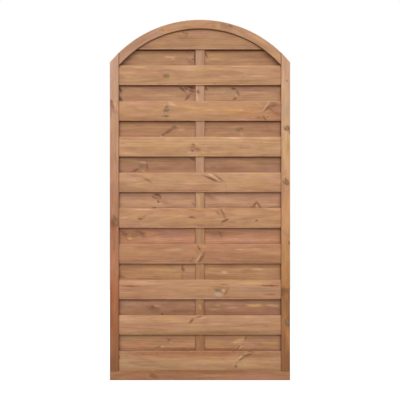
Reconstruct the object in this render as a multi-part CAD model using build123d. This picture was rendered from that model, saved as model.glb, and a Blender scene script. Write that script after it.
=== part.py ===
from build123d import *
import math
import os

# Arched garden fence panel in planed softwood, closed by slats on both sides of a batten.
#
# One grooved moulding makes the whole frame: a bottom rail along the full width, two stiles
# that stand on it with stub tenons in its groove, and an arch rail between the stiles, sawn
# from three pieces that are finger-jointed end to end. Front and back slats alternate up the
# panel, on either side of the middle batten, and lap each other so that nothing shows through.
# Their ends sit in the stiles' grooves, and the upper ones are scribed to the arch rail's.
#
# Millimetres. X runs along the panel from the outer face of the left stile. Y runs from the
# front to the back, with 0 in the middle of the frame. Z is up from the underside of the rail
# while the pieces are made. All of them are then lowered by the fixing height, so that the
# origin is on the left stile's outer face, where the panel is fastened to its post.

# Overall size
panel_width = 900.0
panel_height = 1800.0
arch_rise = 213.0  # from the stiles' outer corners up to the crown of the arch
fixing_height = 900.0  # of the origin above the underside of the rail

# Frame moulding
frame_face = 44.0  # width as seen from the front
groove_depth = 9.0
lip_thickness = 7.2  # of the wood on either side of the groove
outer_arris = 2.0  # width of the chamfer that eases the outer edges
lip_arris = 1.0  # width of the chamfer along the groove
joint_clearance = 0.3  # round whatever sits in a groove

# Middle batten
batten_width = 45.0
batten_thickness = 9.0
batten_arris = 1.0

# Slats
slat_width = 99.0
slat_thickness = 10.0  # at the crown of the face
slat_crown = 4.0  # how far the middle of the face stands proud of its edges
slat_face_arris = 2.0
slat_back_arris = 0.8
end_slat_face = 101.0  # what shows of the lowest and the highest slat, which are wider
least_lap = 8.0  # of a slat behind its neighbour

# Finger joints of the arch rail, placed by their angles from the crown, clockwise in degrees
left_joint_angle = -20.0
right_joint_angle = 10.2
finger_length = 16.0
finger_pitch = 6.3

# The arch, as circles about one centre
half_width = panel_width / 2
arch_radius = (half_width**2 + arch_rise**2) / (2 * arch_rise)
arch_centre_z = panel_height - arch_radius

# The groove takes a front slat, the batten and a back slat side by side
tongue_thickness = 2 * slat_thickness + batten_thickness
groove_width = tongue_thickness + 2 * joint_clearance
frame_depth = groove_width + 2 * lip_thickness
groove_floor = frame_face - groove_depth
seat = groove_floor + joint_clearance  # where what sits in a groove ends, from the panel's outside

# Rows of slats, from the lowest front slat to the highest
lowest_top_edge = frame_face + end_slat_face
highest_bottom_edge = panel_height - frame_face - end_slat_face
row_span = highest_bottom_edge + slat_width - lowest_top_edge
row_count = math.ceil(row_span / (2 * (slat_width - least_lap)))
row_pitch = row_span / row_count


def space_inside(inset):
    """Solid within a line that runs that far inside the panel's sides, foot and arch."""
    left, right = inset, panel_width - inset
    radius = arch_radius - inset
    spring = arch_centre_z + math.sqrt(radius**2 - (half_width - inset) ** 2)
    straight = Polyline((left, 0, spring), (left, 0, inset), (right, 0, inset), (right, 0, spring))
    arc = ThreePointArc((right, 0, spring), (half_width, 0, panel_height - inset), (left, 0, spring))
    return extrude(make_face(straight + arc), amount=frame_depth, both=True)


def moulding_section():
    """The frame's section: X from its outer face to its grooved inner face, Y through its depth."""
    bar = Pos(frame_face / 2, 0) * Rectangle(frame_face, frame_depth)
    groove = Pos(frame_face, 0) * Rectangle(2 * groove_depth, groove_width)
    section = bar - groove
    mouth = [v for v in section.vertices() if v.X > seat and abs(v.Y) < frame_depth / 2 - outer_arris]
    section = chamfer(mouth, min(lip_arris, lip_thickness / 3))
    corners = [v for v in section.vertices() if abs(v.Y) > frame_depth / 2 - lip_thickness / 4]
    return chamfer(corners, min(outer_arris, lip_thickness / 2))


def beside_tenon(width, height):
    """What is cut away in front of a tenon and behind it, over a width and height from the origin."""
    slab = Box(width, frame_depth, height, align=(Align.MIN, Align.MIN, Align.MIN))
    behind = Pos(0, tongue_thickness / 2, 0) * slab
    return behind + mirror(behind, about=Plane.XZ)


def mirrored(piece):
    """The same piece for the other side of the panel."""
    return mirror(piece, about=Plane.YZ.offset(half_width))


def bottom_rail():
    """Rail along the full width, grooved on top."""
    end = Plane(origin=(0, 0, 0), x_dir=(0, 0, 1), z_dir=(1, 0, 0))
    return extrude(end * moulding_section(), amount=panel_width)


def left_stile():
    """Stile grooved on its inner side, with a tenon at its foot and its top cut to the arch."""
    bar = extrude(Plane.XY.offset(seat) * moulding_section(), amount=panel_height - seat)
    return (bar - beside_tenon(frame_face, frame_face)) & space_inside(0)


def arch_rail():
    """The whole arch between the stiles, grooved inside, with a tenon in each stile's groove."""
    springing = Plane.XY.move(Location((half_width - arch_radius, 0, arch_centre_z)))
    axis = Axis((half_width, 0, arch_centre_z), (0, 1, 0))
    hoop = revolve(springing * moulding_section(), axis, 180)
    between = Box(panel_width - 2 * seat, frame_depth, panel_height, align=(Align.MIN, Align.CENTER, Align.MIN))
    left_cheeks = beside_tenon(frame_face, panel_height)
    return (hoop & Pos(seat, 0, 0) * between) - left_cheeks - mirrored(left_cheeks)


def beyond_joint(angle):
    """Everything clockwise of a finger joint: a radial cut whose middle zigzags through the depth."""
    turn = math.radians(angle)
    finger_count = max(1, round(tongue_thickness / finger_pitch))
    cut = [(0, -frame_depth)]
    for step in range(2 * finger_count + 1):
        across = (step / finger_count - 1) * tongue_thickness / 2
        cut.append((finger_length if step % 2 else 0, across))
    cut += [(0, frame_depth), (panel_width, frame_depth), (panel_width, -frame_depth)]
    radial = Plane(
        origin=(half_width, 0, arch_centre_z),
        x_dir=(math.cos(turn), 0, -math.sin(turn)),
        z_dir=(math.sin(turn), 0, math.cos(turn)),
    )
    return extrude(radial * make_face(Polyline(*cut, close=True)), amount=2 * arch_radius)


def batten():
    """Middle batten, its foot and its head in the grooves."""
    bar = Box(batten_width, batten_thickness, panel_height, align=(Align.CENTER, Align.CENTER, Align.MIN))
    bar = fillet(bar.edges().filter_by(Axis.Z), batten_arris)
    return Pos(half_width, 0, 0) * bar & space_inside(seat)


def slat_section(width):
    """A slat's section: X across its width, Y from its flat back to its crowned face."""
    edge = slat_thickness - slat_crown
    flat = Polyline((0, edge), (0, 0), (width, 0), (width, edge))
    crown = ThreePointArc((width, edge), (width / 2, slat_thickness), (0, edge))
    section = make_face(flat + crown)
    face_corners = [v for v in section.vertices() if v.Y > edge / 2]
    section = fillet(face_corners, min(slat_face_arris, edge / 2))
    back_corners = [v for v in section.vertices() if v.Y < edge / 4 and min(v.X, width - v.X) < edge / 4]
    return fillet(back_corners, min(slat_back_arris, edge / 4))


def front_slat(top, width=slat_width):
    """A slat on the front of the batten, its ends in the stiles' grooves, cut to the arch where it meets it."""
    start = Plane(origin=(seat, -batten_thickness / 2, top - width), x_dir=(0, 0, 1), z_dir=(1, 0, 0))
    board = extrude(start * slat_section(width), amount=panel_width - 2 * seat)
    return board & space_inside(seat)


# The pieces, by name
pieces = {"bottom_rail": bottom_rail(), "left_stile": left_stile(), "middle_batten": batten()}
pieces["right_stile"] = mirrored(pieces["left_stile"])

arch = arch_rail()
after_left_joint = beyond_joint(left_joint_angle)
after_right_joint = beyond_joint(right_joint_angle)
pieces["arch_rail_left"] = arch - after_left_joint
pieces["arch_rail_middle"] = (arch & after_left_joint) - after_right_joint
pieces["arch_rail_right"] = arch & after_right_joint

lowest_slat = front_slat(lowest_top_edge, lowest_top_edge - seat)
highest_slat = front_slat(panel_height - seat, panel_height - seat - highest_bottom_edge)
between_slats = [front_slat(lowest_top_edge + row * row_pitch) for row in range(1, row_count)]
for number, piece in enumerate([lowest_slat, *between_slats, highest_slat], start=1):
    pieces[f"front_slat_{number:02d}"] = piece

for row in range(row_count):
    behind_gap = front_slat(lowest_top_edge + (row + 0.5) * row_pitch)
    pieces[f"back_slat_{row + 1:02d}"] = mirror(behind_gap, about=Plane.XZ)

os.makedirs("parts", exist_ok=True)
for name, piece in pieces.items():
    export_step(Pos(0, 0, -fixing_height) * piece.solid(), f"parts/{name}.step")
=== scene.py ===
import math

import bpy
import numpy as np
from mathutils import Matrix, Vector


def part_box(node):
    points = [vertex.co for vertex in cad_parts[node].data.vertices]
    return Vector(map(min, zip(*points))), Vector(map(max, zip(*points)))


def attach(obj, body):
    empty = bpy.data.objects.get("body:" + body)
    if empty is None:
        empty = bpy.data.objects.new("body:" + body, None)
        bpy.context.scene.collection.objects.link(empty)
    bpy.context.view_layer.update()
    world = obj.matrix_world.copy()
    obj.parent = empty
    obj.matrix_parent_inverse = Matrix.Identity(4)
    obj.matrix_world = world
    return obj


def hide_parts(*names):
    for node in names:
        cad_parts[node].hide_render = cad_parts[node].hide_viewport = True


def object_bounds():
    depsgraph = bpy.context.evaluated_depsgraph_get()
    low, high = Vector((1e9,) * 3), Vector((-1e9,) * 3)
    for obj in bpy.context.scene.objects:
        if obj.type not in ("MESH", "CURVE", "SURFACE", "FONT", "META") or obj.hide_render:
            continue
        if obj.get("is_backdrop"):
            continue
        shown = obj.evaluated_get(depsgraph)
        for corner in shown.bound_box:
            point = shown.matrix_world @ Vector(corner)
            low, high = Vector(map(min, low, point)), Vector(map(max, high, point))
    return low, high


# Arched fence panel in planed, treated softwood. Metres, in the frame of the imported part: X along
# the panel from the outer face of the left stile, Y from the front to the back, Z up. Marks, knots,
# shaded strips and colours by height are in millimetres from the panel's lower left corner.
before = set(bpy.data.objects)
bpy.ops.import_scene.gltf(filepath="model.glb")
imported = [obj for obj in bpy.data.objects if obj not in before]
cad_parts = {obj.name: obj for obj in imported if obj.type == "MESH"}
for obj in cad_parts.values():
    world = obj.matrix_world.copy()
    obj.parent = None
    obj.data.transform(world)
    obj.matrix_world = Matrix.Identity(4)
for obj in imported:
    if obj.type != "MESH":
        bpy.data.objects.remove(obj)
cad_low, cad_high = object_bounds()

# The view
# A level camera in front of the panel, a little below its middle. The lens's shift raises the view
# to the middle again, so that the stiles stay upright.
panel_width = cad_high[0] - cad_low[0]
panel_height = cad_high[2] - cad_low[2]
panel_foot = cad_low[2]
panel_middle = (cad_low[0] + cad_high[0]) / 2
camera_distance = 3.4
camera_height = 0.62
framed_height = 1.996


def add_object(name, data):
    """An object of that data, in the scene."""
    made = bpy.data.objects.new(name, data)
    bpy.context.scene.collection.objects.link(made)
    return made


camera = add_object("camera", bpy.data.cameras.new("camera"))
camera.location = (panel_middle, cad_low[1] - camera_distance, panel_foot + camera_height)
camera.rotation_euler = (math.radians(90), 0, 0)
camera.data.lens = camera.data.sensor_width * camera_distance / framed_height
camera.data.shift_y = (panel_height / 2 - camera_height) / framed_height
bpy.context.scene.camera = camera
bpy.context.scene.view_settings.view_transform = "Standard"

# The bottom rail
# A planed softwood rail, 44 mm square, ploughed along its top for the lowest slat and the stiles'
# feet. Every frame member is run from the same moulding, then treated against rot.
rail_low, rail_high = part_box("bottom_rail")
face_width = rail_high[2] - rail_low[2]
frame_depth = rail_high[1] - rail_low[1]
slat_low, slat_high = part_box("front_slat_01")
clearance = 0.0003  # round whatever sits in a groove
groove_floor = slat_low[2] - panel_foot - clearance
groove_half = clearance - slat_low[1]
arris = 0.0030  # of the frame's outer edges
lip_arris = 0.0015  # along the groove
arris_steps = 5
lip_steps = 3
floor_steps = 12
frame_stations = 60  # sections along a bar
crease_angle = math.radians(40)  # from which an edge is drawn sharp

# The arch's outer circle, through its crown and the inner corners of the stiles' tops
stile_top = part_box("left_stile")[1][2]
half_chord = panel_width / 2 - face_width
drop = cad_high[2] - stile_top
arch_radius = (half_chord**2 + drop**2) / (2 * drop)
arch_centre = cad_high[2] - arch_radius


def arc_corner(corner, before, after, radius, steps):
    """Points round a corner: a curve that leaves one side and meets the other, radius from the corner."""
    share = np.linspace(0, 1, steps + 1)[:, None]
    corner, before, after = (np.array(p, float) for p in (corner, before, after))
    start = corner + (before - corner) / np.linalg.norm(before - corner) * radius
    end = corner + (after - corner) / np.linalg.norm(after - corner) * radius
    return (1 - share) ** 2 * start + 2 * share * (1 - share) * corner + share**2 * end


def moulding_section():
    """Two chains of points from front to back: the outer face, and the inner face with its groove.

    Each point is (distance inwards from the outer face, place through the depth), and the chains
    have as many points, so that a strip between them closes the end of a bar.
    """
    half = frame_depth / 2
    front, inner_edge, lip = (0, -half), (face_width, -half), (face_width, -groove_half)
    outer_front = arc_corner(front, (face_width / 2, -half), (0, 0), arris, arris_steps)
    lip_edge = arc_corner(inner_edge, (face_width / 2, -half), lip, arris, arris_steps)
    mouth = arc_corner(lip, inner_edge, (groove_floor, -groove_half), lip_arris, lip_steps)
    inner_front = np.vstack([lip_edge, mouth, [(groove_floor, -groove_half)]])
    floor = [(groove_floor, y) for y in np.linspace(-groove_half, groove_half, floor_steps)[1:-1]]
    inner = np.vstack([inner_front, floor, inner_front[::-1] * (1, -1)])
    spread = np.linspace(-half + arris, half - arris, len(inner) - 2 * len(outer_front) + 2)[1:-1]
    flat = np.column_stack([np.zeros_like(spread), spread])
    outer = np.vstack([outer_front, flat, outer_front[::-1] * (1, -1)])
    return outer, inner


def bar_along(section, start, end, stations, place):
    """A shell with a section at each of some even shares from start to end.

    place turns (distance inwards, place through the depth, share, start, end) into a point.
    """
    shares = np.linspace(0, 1, stations)[:, None]
    shell = []
    for chain in section:
        inwards, depth = chain[:, 0][None, :], chain[:, 1][None, :]
        shell.append(np.stack(np.broadcast_arrays(*place(inwards, depth, shares, start, end)), axis=-1))
    return tuple(shell)


def add_timber(name, shells, material):
    """Mesh object from closed shells. A shell is (outer, inner): two arrays of stations by points by 3.

    Its surface runs along the outer chain and back along the inner one at each station, joins each
    station to the next, and is closed at both ends by a strip between the chains. It is turned
    inside out where the sum of its faces' normals, each times its way from the middle, is negative.
    """
    vertices, faces = [], []
    base = 0
    for outer, inner in shells:
        ring = np.concatenate([outer, inner[:, ::-1]], axis=1)
        stations, count = ring.shape[:2]
        index = base + np.arange(stations * count).reshape(stations, count)
        after = np.roll(index, -1, axis=1)
        sides = np.stack([index[:-1], after[:-1], after[1:], index[1:]], axis=-1).reshape(-1, 4)
        k = np.arange(count // 2 - 1)
        start_cap = index[0][np.stack([k, count - 1 - k, count - 2 - k, k + 1], axis=-1)]
        end_cap = index[-1][np.stack([k, k + 1, count - 2 - k, count - 1 - k], axis=-1)]
        shell_faces = np.vstack([sides, start_cap, end_cap])
        points = ring.reshape(-1, 3)
        corners = points[shell_faces - base]
        fan = np.cross(corners[:, 1] - corners[:, 0], corners[:, 2] - corners[:, 0])
        fan += np.cross(corners[:, 2] - corners[:, 0], corners[:, 3] - corners[:, 0])
        if (fan * (corners.mean(axis=1) - points.mean(axis=0))).sum() < 0:
            shell_faces = shell_faces[:, ::-1]
        vertices.append(points)
        faces.append(shell_faces)
        base += len(points)
    mesh = bpy.data.meshes.new(name)
    mesh.from_pydata(np.vstack(vertices).tolist(), [], np.vstack(faces).tolist())
    mesh.polygons.foreach_set("use_smooth", np.ones(len(mesh.polygons), bool))
    mesh.set_sharp_from_angle(angle=crease_angle)
    mesh.materials.append(material)
    made = add_object(name, mesh)
    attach(made, "root")
    return made


def tone(red, green, blue):
    """A colour as a screen shows it, 0 to 255, as the light values that a shader takes: the sRGB curve."""
    share = np.array([red, green, blue]) / 255
    linear = np.where(share <= 0.04045, share / 12.92, ((share + 0.055) / 1.055) ** 2.4)
    return (*linear.tolist(), 1.0)


def empty_tree(owner):
    """The shader nodes of a material or a world, all taken out."""
    owner.use_nodes = True
    owner.node_tree.nodes.clear()
    return owner.node_tree


def add_node(tree, kind, inputs=(), **settings):
    """A node with its settings made and its inputs filled or linked, by (socket, value or output)."""
    made = tree.nodes.new(kind)
    for key, value in settings.items():
        setattr(made, key, value)
    for socket, value in dict(inputs).items():
        if isinstance(value, bpy.types.NodeSocket):
            tree.links.new(value, made.inputs[socket])
        else:
            made.inputs[socket].default_value = value
    return made


def calculate(tree, operation, *values, clamp=False):
    """The result of a Math node."""
    made = add_node(tree, "ShaderNodeMath", enumerate(values), operation=operation, use_clamp=clamp)
    return made.outputs[0]


def combine(tree, operation, *values, result="Vector"):
    """The result of a Vector Math node."""
    slots = (0, 3) if operation == "SCALE" else (0, 1, 2)
    return add_node(tree, "ShaderNodeVectorMath", zip(slots, values), operation=operation).outputs[result]


def blend_colours(tree, share, first, second, way="MIX"):
    """The colour of a Mix node."""
    inputs = {0: share, 6: first, 7: second}
    return add_node(tree, "ShaderNodeMix", inputs, data_type="RGBA", blend_type=way).outputs[2]


def ease(tree, value, low, high):
    """0 below low, 1 above high, smooth between; it falls instead where low is the larger."""
    inputs = {"Value": value, "From Min": low, "From Max": high}
    return add_node(tree, "ShaderNodeMapRange", inputs, interpolation_type="SMOOTHSTEP").outputs[0]


def noise(tree, place, seed, detail, roughness):
    """The outputs of a noise, with a wave to each unit of the place: its strength and its colour."""
    inputs = {"Vector": place, "W": seed, "Scale": 1.0, "Detail": detail, "Roughness": roughness}
    return add_node(tree, "ShaderNodeTexNoise", inputs, noise_dimensions="4D").outputs


def new_group(name, inputs, outputs):
    """A shader group with those sockets, given as name to type, and its input and output nodes."""
    types = {"number": "NodeSocketFloat", "vector": "NodeSocketVector", "colour": "NodeSocketColor"}
    tree = bpy.data.node_groups.new(name, "ShaderNodeTree")
    for way, sockets in (("INPUT", inputs), ("OUTPUT", outputs)):
        for label, kind in sockets.items():
            tree.interface.new_socket(label, in_out=way, socket_type=types[kind])
    return tree, tree.nodes.new("NodeGroupInput").outputs, tree.nodes.new("NodeGroupOutput").inputs


def use_group(tree, group, inputs):
    """The outputs of a group node."""
    return add_node(tree, "ShaderNodeGroup", inputs, node_tree=group).outputs


def knot_group():
    """A branch through a board: how far a point is from it, and how the grain parts round it.

    The distance is taken square to the branch, less of it along the grain, and divided by the
    branch's radius. The grain parts as water does round a post: a point is moved back towards the
    branch by the square of radius over distance, and by no more than most of its way within it.
    """
    drawn_out = (0.62, 1, 1)
    most_moved = (0, -0.85, -0.85)
    tree, given, out = new_group(
        "branch_knot",
        {
            "Place": "vector", "Parting": "vector", "Nearness": "number", "Tint": "colour",
            "Centre": "vector", "Axis": "vector", "Radius": "number", "Own tint": "colour",
        },
        {"Parting": "vector", "Nearness": "number", "Tint": "colour"},
    )
    offset = combine(tree, "SUBTRACT", given["Place"], given["Centre"])
    along = combine(tree, "DOT_PRODUCT", offset, given["Axis"], result="Value")
    square = combine(tree, "SUBTRACT", offset, combine(tree, "SCALE", given["Axis"], along))
    distance = combine(tree, "LENGTH", combine(tree, "MULTIPLY", square, drawn_out), result="Value")
    nearness = calculate(tree, "DIVIDE", distance, given["Radius"])
    beyond = calculate(tree, "MAXIMUM", calculate(tree, "POWER", nearness, 2.0), 1.0)
    fade = calculate(tree, "DIVIDE", 1.0, beyond)
    pull = combine(tree, "SCALE", combine(tree, "MULTIPLY", square, most_moved), fade)
    tree.links.new(combine(tree, "ADD", given["Parting"], pull), out["Parting"])
    tree.links.new(calculate(tree, "MINIMUM", given["Nearness"], nearness), out["Nearness"])
    closer = calculate(tree, "LESS_THAN", nearness, given["Nearness"])
    tree.links.new(blend_colours(tree, closer, given["Tint"], given["Own tint"]), out["Tint"])
    return tree


def mark_group():
    """A soft stain or streak: strongest along a line on the face, fading to nothing at its width.

    The distance from the line is the root of the sum of the squares along and across it, each as a
    share of the mark's own size. Noise moves its edge in and out and lets the wood show through.
    """
    edge_noise = 1.3  # how far the edge moves, as a share of the mark
    fade_from, fade_to = 1.35, 0.15  # where it begins and is full, in its own sizes
    most_solid, wood_shows = 1.35, -0.7  # its strength is times the one plus the noise times the other
    tree, given, out = new_group(
        "soft_mark",
        {
            "Place": "vector", "Colour": "colour", "Ragged": "number", "Middle": "vector",
            "Along": "vector", "Across": "vector", "Tint": "colour", "Strength": "number",
        },
        {"Colour": "colour"},
    )
    offset = combine(tree, "SUBTRACT", given["Place"], given["Middle"])

    def squared(way):
        """The square of how far the place lies that way from the middle of the mark."""
        return calculate(tree, "POWER", combine(tree, "DOT_PRODUCT", offset, given[way], result="Value"), 2.0)

    distance = calculate(tree, "SQRT", calculate(tree, "ADD", squared("Along"), squared("Across")))
    uneven = calculate(tree, "SUBTRACT", given["Ragged"], 0.5)
    ragged = calculate(tree, "MULTIPLY_ADD", uneven, edge_noise, distance)
    solid = calculate(tree, "MULTIPLY_ADD", given["Ragged"], wood_shows, most_solid)
    strength = calculate(tree, "MULTIPLY", given["Strength"], solid, clamp=True)
    share = calculate(tree, "MULTIPLY", ease(tree, ragged, fade_from, fade_to), strength)
    tree.links.new(blend_colours(tree, share, given["Colour"], given["Tint"]), out["Colour"])
    return tree


def timber_group():
    """Planed softwood, as rings about a pith, long fibres, stains and knots.

    Grain is the place from the pith, X along it. A ring's dark late wood rises slowly and ends
    sharply. Fibres and stains are noise drawn out along the grain. Shade, a dark wash over all, is
    painted shade and the darker end grain.
    """
    fleck_colour, ring_colour, rim_colour = tone(176, 140, 102), tone(84, 56, 36), tone(96, 62, 40)
    late_wash, stained_wash, shade_wash = (0.76, 0.68, 0.60, 1), (0.84, 0.77, 0.64, 1), (0.33, 0.12, 0.02, 1)
    pith_wander = (0, 0.016, 0.016)
    ring_waves, uneven_years = 70.0, 2.4
    knot_rings, rim_strength = 15.0, 0.25
    tree, given, out = new_group(
        "planed_softwood",
        {
            "Grain": "vector", "Place": "vector", "Nearness": "number", "Knot tint": "colour",
            "Ring width": "number", "Wood": "colour", "Figure": "number", "Seed": "number", "Shade": "number",
        },
        {"Colour": "colour", "Roughness": "number", "Height": "number"},
    )

    def drawn_noise(waves, detail, roughness, source="Grain"):
        """Noise, 0 to 1, with that many waves a metre along each axis."""
        return noise(tree, combine(tree, "MULTIPLY", given[source], waves), given["Seed"], detail, roughness)

    def scaled(share, strength):
        """A share of a strength."""
        return calculate(tree, "MULTIPLY", share, strength)

    def washed(wood, share, wash):
        """The wood under a thin wash, which multiplies its colour."""
        return blend_colours(tree, share, wood, wash, "MULTIPLY")

    # The rings: circles about the pith, which wanders, of uneven years
    wander = drawn_noise((1.6, 9, 9), 2.0, 0.5)["Color"]
    centred = combine(tree, "SUBTRACT", wander, (0.5, 0.5, 0.5))
    wandered = combine(tree, "MULTIPLY_ADD", centred, pith_wander, given["Grain"])
    across = combine(tree, "LENGTH", combine(tree, "MULTIPLY", wandered, (0, 1, 1)), result="Value")
    steps = {"W": scaled(across, ring_waves), "Scale": 1.0, "Detail": 1.0}
    uneven = add_node(tree, "ShaderNodeTexNoise", steps, noise_dimensions="1D").outputs[0]
    years = calculate(tree, "DIVIDE", across, given["Ring width"])
    season = calculate(tree, "FRACT", calculate(tree, "MULTIPLY_ADD", uneven, uneven_years, years))
    late = scaled(ease(tree, season, 0.25, 0.92), ease(tree, season, 1.0, 0.93))
    wood = washed(given["Wood"], scaled(late, given["Figure"]), late_wash)

    # Each wash: the noise that it follows, where that begins and fills it, its strength and colour
    bands = drawn_noise((4.0, 60, 60), 2.0, 0.55)[0]
    streaks = drawn_noise((7.0, 170, 170), 3.0, 0.6)[0]
    fibres = drawn_noise((14, 900, 900), 2.0, 0.6)[0]
    patches = drawn_noise((3.0, 16, 16), 2.0, 0.5)[0]
    clouds = drawn_noise((11, 30, 42), 2.5, 0.55, "Place")
    rosy = add_node(tree, "ShaderNodeSeparateXYZ", {0: clouds[1]}).outputs[1]
    washes = (
        (clouds[0], 0.50, 0.68, 0.90, (1.11, 1.11, 1.12, 1)),
        (clouds[0], 0.50, 0.32, 0.90, (0.88, 0.86, 0.82, 1)),
        (rosy, 0.52, 0.68, 0.90, (0.99, 0.92, 0.96, 1)),
        (rosy, 0.48, 0.32, 0.90, (1.03, 1.03, 0.86, 1)),
        (patches, 0.42, 0.64, 0.60, (0.93, 0.84, 0.84, 1)),
        (patches, 0.46, 0.30, 0.50, (1.06, 1.04, 0.92, 1)),
        (bands, 0.52, 0.74, 0.70, (1.20, 1.20, 1.18, 1)),
        (bands, 0.46, 0.28, 0.60, (0.78, 0.72, 0.66, 1)),
        (streaks, 0.52, 0.72, 0.50, (0.80, 0.74, 0.68, 1)),
        (fibres, 0.45, 0.80, 0.35, (0.80, 0.76, 0.72, 1)),
    )
    for followed, begins, full, strength, wash in washes:
        wood = washed(wood, scaled(ease(tree, followed, begins, full), strength), wash)

    # The knots: stained wood round them, a flecked heart with its own rings, and a dark rim
    rough_edge = calculate(tree, "SUBTRACT", drawn_noise((160, 160, 160), 2.0, 0.6, "Place")[0], 0.5)
    near = calculate(tree, "MULTIPLY_ADD", rough_edge, 1.5, given["Nearness"])
    heart_rings = calculate(tree, "SINE", scaled(near, knot_rings))
    ring_share = calculate(tree, "MULTIPLY_ADD", heart_rings, 0.12, 0.14)
    flecks = ease(tree, drawn_noise((260, 260, 260), 2.0, 0.6, "Place")[0], 0.46, 0.62)
    heart = blend_colours(tree, scaled(flecks, 0.55), given["Knot tint"], fleck_colour)
    heart = blend_colours(tree, ring_share, heart, ring_colour)
    wood = washed(wood, scaled(ease(tree, near, 2.4, 1.0), 0.40), stained_wash)
    wood = blend_colours(tree, scaled(ease(tree, near, 1.45, 0.45), 0.90), wood, heart)
    rim = scaled(ease(tree, near, 0.55, 0.90), ease(tree, near, 1.35, 1.0))
    wood = blend_colours(tree, scaled(rim, rim_strength), wood, rim_colour)
    # Painted shade, and the darker end grain, as a dark wash
    wood = washed(wood, given["Shade"], shade_wash)
    tree.links.new(wood, out["Colour"])

    # Streaks are rougher and knots smoother than the rest. Late wood, fibres and knots stand proud.
    rough = calculate(tree, "MULTIPLY_ADD", streaks, 0.16, 0.58)
    rough = calculate(tree, "MULTIPLY_ADD", ease(tree, near, 1.2, 0.8), -0.10, rough)
    tree.links.new(rough, out["Roughness"])
    height = calculate(tree, "MULTIPLY_ADD", late, 0.5, scaled(fibres, 0.5))
    height = calculate(tree, "MULTIPLY_ADD", ease(tree, near, 1.1, 0.6), 0.6, height)
    tree.links.new(height, out["Height"])
    return tree


branch_knot = knot_group()
soft_mark = mark_group()
planed_softwood = timber_group()

# What the treated pine is stained and streaked with
cream = tone(216, 172, 136)
straw = tone(206, 162, 114)
gold = tone(204, 156, 102)
yellow = tone(196, 152, 92)
orange = tone(194, 132, 92)
pink = tone(198, 150, 124)
rose = tone(172, 122, 100)
rust = tone(154, 96, 62)
brown = tone(150, 106, 72)
umber = tone(124, 82, 52)
bark = tone(104, 68, 42)
olive = tone(164, 132, 86)
moss = tone(128, 108, 76)
blush = tone(206, 142, 128)
mauve = tone(168, 120, 104)
peach = tone(206, 154, 120)
honey = tone(214, 166, 108)
amber = tone(206, 150, 94)
ochre = tone(186, 136, 90)
grey = tone(164, 132, 106)
pale = tone(200, 174, 142)
brick = tone(134, 74, 44)
russet = tone(174, 116, 76)
drab = tone(134, 106, 72)
copper = tone(188, 130, 80)

# How every board is cut and weathered
ring_width = 0.004
most_lean = 0.022  # of the grain from the board's length
branch_way = np.array([0.12, 1.0, 0.08])
branch_way /= np.linalg.norm(branch_way)
no_knot_near = 50.0  # knot radii from the nearest knot, before any is placed
edge_waves = (45, 45, 190)  # of the noise that makes marks uneven, a metre
end_facing = (0.55, 0.9)  # how squarely a face looks along the grain as its shade begins and is full
# Where a face turned down begins and is full in its painted shade, then how far a face must turn to one side
# to take a strip's painted shade
down_facing = (-0.80, -0.98)
side_facing = (0.1, 0.4)
end_shade = 0.45  # of end grain
# How far the painted shade under the arch rail reaches
arch_shade_reach = 0.006
grain_relief = 0.0006
relief_strength = 0.35
wood_shine = 0.3


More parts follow.
